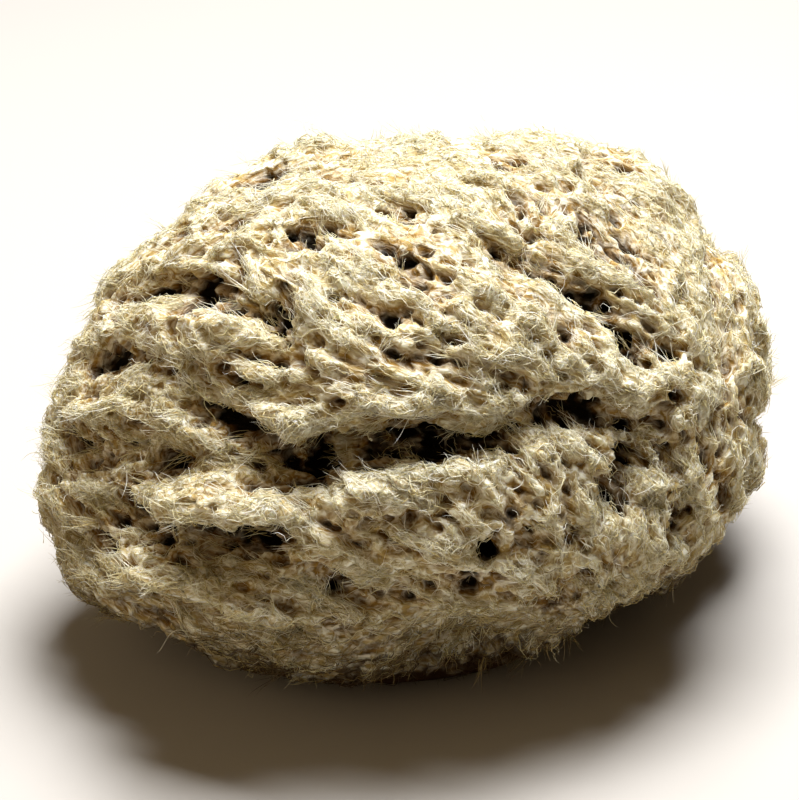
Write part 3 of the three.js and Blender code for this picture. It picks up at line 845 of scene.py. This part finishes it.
def cords(name, paths, thickness, tones, taper):
    """One mesh of cords. paths is cords x points x 3, and the last point is the tip."""
    count, rings = paths.shape[0], paths.shape[1] - 1
    along = unit(np.gradient(paths, axis=1))[:, :-1]
    side = unit(np.cross(along, unit(np.random.default_rng(SIDE_SEED).normal(size=(count, 1, 3)))))
    other = np.cross(along, side)
    radius = (thickness[:, None] / 2 * taper[None, :rings])[..., None]
    ring = [
        paths[:, :-1] + radius * (math.cos(turn) * side + math.sin(turn) * other)
        for turn in (0, 2 * math.pi / 3, 4 * math.pi / 3)
    ]
    shape = np.concatenate([np.stack(ring, 2).reshape(count, -1, 3), paths[:, -1:]], 1)
    each = shape.shape[1]
    walls = [
        [3 * k + j, 3 * k + (j + 1) % 3, 3 * k + 3 + (j + 1) % 3, 3 * k + 3 + j]
        for k in range(rings - 1) for j in range(3)
    ]
    last = 3 * (rings - 1)
    caps = [[last + j, last + (j + 1) % 3, each - 1] for j in range(3)] + [[2, 1, 0]]
    first = np.arange(count)[:, None] * each
    wall_corners = (first + np.array(walls).ravel()).ravel()
    end_corners = (first + np.array(caps).ravel()).ravel()
    corner_points = np.concatenate([wall_corners, end_corners])
    starts = np.concatenate([
        4 * np.arange(count * len(walls)),
        len(wall_corners) + 3 * np.arange(count * len(caps)),
    ])
    mesh = bpy.data.meshes.new(name)
    mesh.vertices.add(count * each)
    mesh.vertices.foreach_set("co", shape.astype(np.float32).ravel())
    mesh.loops.add(len(corner_points))
    mesh.loops.foreach_set("vertex_index", corner_points.astype(np.int32))
    mesh.polygons.add(len(starts))
    mesh.polygons.foreach_set("loop_start", starts.astype(np.int32))
    mesh.update(calc_edges=True)
    mesh.shade_smooth()
    # The map: the fibre's own tone across, its length upwards
    height = np.append(np.repeat(np.arange(rings) / rings, 3), 1)
    step = np.append(np.tile([0, 1, 2], rings), 1)
    local = corner_points % each
    u = tones[corner_points // each] * MAP_WIDTH + MAP_STEP * step[local]
    v = MAP_HEIGHT * height[local] + MAP_STEP
    fibre_map = mesh.uv_layers.new(name=FIBRE_MAP)
    fibre_map.data.foreach_set("uv", np.stack([u, v], 1).astype(np.float32).ravel())
    mesh.materials.append(spongin_fibre)
    piece = bpy.data.objects.new(name, mesh)
    bpy.context.scene.collection.objects.link(piece)
    print(name, "has", count, "fibres and", count * (2 * len(walls) + len(caps)), "triangles")
    return piece


# %% [markdown]
# ## The fibre mat
# Most fibres lie on the felt and run along the bundles, in slow waves. Each one is laid a step at a time:
# it goes forward, drops back onto the felt and turns a little. Many more are laid than are needed, and
# those that stay out of the pores are kept, because the open pores are what makes it a sponge.

# %% Where fibres root and how pale they are
# More fibres lie on the side that the picture shows, and fewer in pores and folds
SHOWN_MARGIN = 0.15
BARE_PORE = 1.4
BARE_FOLD = 0.5
# How much darker fibres are painted low down, in folds and in pores, as painted shade, and at the ends, and
# how much they differ
DARK_BELOW = 0.88
DARK_IN_FOLD = 0.5
DARK_IN_PORE = 0.3
DARK_AT_ENDS = 0.15
TONE_SPREAD = (0.55, 1.1)
FLOOR_GAP = 0.4 * MM
# How strongly the ridges draw the fibres, and how much more of them the seen side gets
RIDGE_DRAW = 1.5
MORE_SEEN = 0.9
MAT_EVERYWHERE = 0.55
MAT_TIP = 0.5

felt = lookup(points)
felt_grain = grain_at(points, outward)
shown = np.clip(outward @ np.array(towards_eye) + SHOWN_MARGIN, 0, 1)
peak = np.clip(1 - BARE_PORE * pore_depth - BARE_FOLD * fold_depth, 0, 1)
# Painted shade: fibres are darker in folds and pores, darker at the ends, and darker still low down and
# facing down
open_tone = 1 - DARK_IN_FOLD * fold_depth - DARK_IN_PORE * pore_depth - DARK_AT_ENDS * ends
painted_brightness = (1 - DARK_BELOW * painted_underside_shade) * open_tone


def fibre_tones(roots, dice):
    """The tone of each fibre by where it is rooted: painted shade makes it brown low down and in hollows, and
    it is pale on the ridges.
    """
    return np.clip(painted_brightness[roots] * dice.uniform(*TONE_SPREAD, len(roots)), 0, 1)


print("mean draw of the ridges:", round(float(peak.mean()), 2), "mean tone:", round(float(painted_brightness.mean()), 2))

# %% Lay fibres on the felt
# How far a fibre starts from its point, how firmly it turns back to the grain at each step, and the least
# share of its height over the felt
START_SCATTER = 0.5 * MM
KEEP_TO_GRAIN = 0.25
LEAST_LIFT = 0.3
# What counts against a fibre beside the pores that it crosses: folds, plain chance and the floor
FOLD_COST = 0.5
CHANCE_COST = 0.5
FLOOR_COST = 9


def on_felt(places):
    """The nearest spot of the felt for each place, with its outward direction and index."""
    index = np.array([felt.find(spot)[1] for spot in places.tolist()])
    up = outward[index]
    return places - ((places - points[index]) * up).sum(1, keepdims=True) * up, up, index


def lay_fibres(name, kept, tried, length, thickness, loft, lean_spread, waver, seed, steps=5):
    """Lays fibres a step at a time and keeps those that stay highest on the felt."""
    dice = np.random.default_rng(seed)
    weight = peak**RIDGE_DRAW * (MAT_EVERYWHERE + MORE_SEEN * shown)
    start = dice.choice(len(points), tried, p=weight / weight.sum())
    here = points[start] + START_SCATTER * dice.normal(size=(tried, 3))
    up = outward[start]
    reach = dice.uniform(*length, tried)[:, None] / steps
    heading = felt_grain[start] * dice.choice([-1, 1], tried)[:, None]
    heading = in_surface(heading + lean_spread * dice.normal(size=(tried, 3)), up)
    lift = dice.uniform(*loft, tried)[:, None]
    path, depth = [], np.zeros(tried)
    for step in range(steps + 1):
        here, up, index = on_felt(here)
        path.append(here + lift * (LEAST_LIFT + dice.random((tried, 1))) * up)
        depth += pore_depth[index] + FOLD_COST * fold_depth[index]
        onward = felt_grain[index] * np.sign((heading * felt_grain[index]).sum(1, keepdims=True))
        heading = in_surface(heading + KEEP_TO_GRAIN * onward + waver * dice.normal(size=(tried, 3)), up)
        here = here + reach * heading
    path = np.stack(path, 1)
    depth += CHANCE_COST * dice.random(tried) + FLOOR_COST * (path[..., 2].min(1) < FLOOR_GAP)
    best = np.argsort(depth)[:kept]
    width = dice.uniform(*thickness, kept)
    tones = fibre_tones(start[best], dice)
    return cords(name, path[best], width, tones, np.linspace(1, MAT_TIP, steps))


# Name, fibres kept and tried, length, thickness, height over the felt, turn at the start and at each
# step, and seed
mats = [
    lay_fibres("fibre_mat_long", 6900, 15000, (4.0 * MM, 8.5 * MM), (0.12 * MM, 0.20 * MM),
               (0.05 * MM, 0.50 * MM), 0.30, 0.60, 21),
    lay_fibres("fibre_mat_short", 8800, 17000, (2.0 * MM, 4.0 * MM), (0.11 * MM, 0.18 * MM),
               (0.05 * MM, 0.55 * MM), 0.65, 1.0, 22, steps=4),
]

# %% [markdown]
# ## Tufts
# At the ends of the bundles the fibres come loose and stand out in tufts, like the tip of a worn brush.
# The fibres of a tuft start close together, share one lean, and part a little towards their curling tips.

# %% Measures of the tufts
LOWEST_TUFT = 3 * MM
ROOT_DEPTH = 0.3 * MM
ROOT_SCATTER = 0.5 * MM
# How much tufts turn from the grain, and how much the fibres of one tuft differ in rise, length and coil
TUFT_TURN = 0.35
RISE_SCATTER = 0.12
LENGTH_SPREAD = (0.6, 1.15)
COIL_SPREAD = (0.5, 1.5)
TUFT_TIP = 0.45
# What the unseen side gets of tufts, and what the hollows get of down
TUFT_EVERYWHERE = 0.5
DOWN_IN_HOLLOWS = 0.25


def curling(start, way, length, bend, coil, turns, dice, steps):
    """Paths that set off along way, bend to one side and coil more and more towards the tip."""
    count = len(start)
    bend_to, aside = unit(dice.normal(size=(2, count, 3)))
    side_one = unit(np.cross(way, aside))
    side_two = np.cross(way, side_one)
    phase = dice.uniform(0, 2 * math.pi, (count, 1))
    turn = 2 * math.pi * turns * dice.uniform(*COIL_SPREAD, (count, 1))
    path = []
    for share in np.linspace(0, 1, steps + 1):
        round_one = np.cos(turn * share + phase) - np.cos(phase)
        round_two = np.sin(turn * share + phase) - np.sin(phase)
        winding = coil * share**0.5 * (round_one * side_one + round_two * side_two)
        swing = bend * share**2 * bend_to + winding
        path.append(start + length * (share * way + swing))
    return np.stack(path, 1)


# %% [markdown]
# Curly and gathered tufts, single loose threads and fine down differ only in their numbers, so one function
# stands them all. Tufts are spread like the pores, more of them on the ridges.


# %% Stand the tufts
def stand_tufts(name, tufts, fibres, length, thickness, rise, spread, curl, apart, seed,
                steps=5, everywhere=False, wide=0.55 * MM, gathered=0.0, tone=0.0):
    """Tufts of fibres. A gathered tuft is wide at its roots, and its fibres meet at one tip."""
    dice = np.random.default_rng(seed)
    weight = (DOWN_IN_HOLLOWS + peak if everywhere else peak) * (TUFT_EVERYWHERE + MORE_SEEN * shown)
    weight *= points[:, 2] > LOWEST_TUFT
    places = dice.choice(len(points), 5 * tufts, replace=False, p=weight / weight.sum())
    places = places[throw_darts(points[places], (apart, apart), len(places), dice)][:tufts]
    rooted = np.repeat(places, fibres)
    number = len(rooted)
    up = outward[rooted]
    turned = felt_grain[places] + TUFT_TURN * dice.normal(size=(len(places), 3))
    tuft_lean = in_surface(turned, outward[places])
    lean = np.repeat(tuft_lean, fibres, 0)
    slope = np.repeat(dice.uniform(*rise, len(places)), fibres)[:, None]
    slope = slope + RISE_SCATTER * dice.normal(size=(number, 1))
    across = np.cross(up, lean)
    start = points[rooted] - ROOT_DEPTH * up
    aside = across * wide * dice.normal(size=(number, 1))
    start += aside + lean * ROOT_SCATTER * dice.normal(size=(number, 1))
    size = np.repeat(dice.uniform(*length, len(places)), fibres) * dice.uniform(*LENGTH_SPREAD, number)
    way = unit(lean * np.cos(slope) + up * np.sin(slope) + spread * dice.normal(size=(number, 3)))
    way = unit(way + gathered * (points[rooted] - start) / size[:, None])
    path = curling(start, way, size[:, None], *curl, dice, steps)
    clear = path[..., 2].min(1) > FLOOR_GAP
    path, rooted = path[clear], rooted[clear]
    tones = np.clip(tone + fibre_tones(rooted, dice), 0, 1)
    return cords(name, path, dice.uniform(*thickness, len(path)), tones, np.linspace(1, TUFT_TIP, steps))


# %% Tufts, threads and down
# Name, tufts and fibres in each, length, thickness, rise from the surface, spread, bend and coil and its
# turns, distance apart, and seed
tufts = [
    stand_tufts("tufts_curly", 940, 5, (1.8 * MM, 4.2 * MM), (0.11 * MM, 0.17 * MM),
                (0.0, 0.45), 0.18, (0.40, 0.12, 1.0), 1.5 * MM, 31, steps=7, tone=0.06),
    stand_tufts("tufts_gathered", 760, 9, (3.0 * MM, 5.6 * MM), (0.11 * MM, 0.17 * MM),
                (0.0, 0.32), 0.10, (0.26, 0.05, 0.6), 1.8 * MM, 32, wide=0.8 * MM, gathered=0.9, tone=0.04),
    stand_tufts("loose_threads", 300, 1, (3.0 * MM, 5.5 * MM), (0.13 * MM, 0.20 * MM),
                (0.10, 0.8), 0.30, (0.45, 0.14, 1.5), 2.4 * MM, 34, steps=10, tone=0.25),
    stand_tufts("down", 4000, 3, (0.9 * MM, 2.0 * MM), (0.09 * MM, 0.15 * MM),
                (0.1, 1.2), 0.45, (0.35, 0.10, 0.6), 0.5 * MM, 33, steps=3, everywhere=True),
]

# %% [markdown]
# ## Join the pieces to the part
# The felted body stands for the part's solid. The part has no joint, so everything rides on its root.

# %% Ride on the part
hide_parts("sponge")
for piece in [body, *mats, *tufts]:
    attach(piece, "root")

# %% [markdown]
# ## Floor and light
# A plain pale floor carries the sponge. A soft, slightly cool lamp overhead and a little behind gives the
# bright upper side and the dark folds. A larger, weaker and warmer one in front and to the left, and a dim
# warm sky, keep the shaded side readable.

# %% Floor
bpy.ops.mesh.primitive_plane_add(size=4, location=(0, 0, 0))
floor = bpy.context.object
floor.name = "floor"
pale_floor, floor_shader = new_material("pale_paper")
floor_shader.inputs["Base Color"].default_value = colour("#BBB4A8")
floor_shader.inputs["Roughness"].default_value = 0.9
floor.data.materials.append(pale_floor)


# %% Lamps
def soft_lamp(name, right, up, back, size, power):
    """A square lamp that faces the sponge, placed in metres from its middle, right and back as pictured."""
    away = Vector((-towards_eye.x, -towards_eye.y, 0)).normalized()
    spot = AIM + right * picture_right + Vector((0, 0, up)) + back * away
    turned = (spot - AIM).to_track_quat("Z", "Y").to_euler()
    bpy.ops.object.light_add(type="AREA", location=spot, rotation=turned)
    lamp = bpy.context.object
    lamp.name = name
    lamp.data.size = size
    lamp.data.energy = power
    return lamp


WARM = "#FFE4BE"
COOL = "#F1F5FF"
key_lamp = soft_lamp("key_lamp", 0.06, 0.63, 0.13, 0.36, 12.4)
key_lamp.data.color = colour(COOL)[:3]
fill_lamp = soft_lamp("fill_lamp", -0.60, 0.50, -0.45, 0.7, 1.1)
fill_lamp.data.color = colour(WARM)[:3]
world = bpy.data.worlds.new("studio")
bpy.context.scene.world = world
world.use_nodes = True
world.node_tree.nodes["Background"].inputs["Color"].default_value = colour(WARM)
world.node_tree.nodes["Background"].inputs["Strength"].default_value = 0.10
bpy.context.scene.view_settings.view_transform = "Standard"
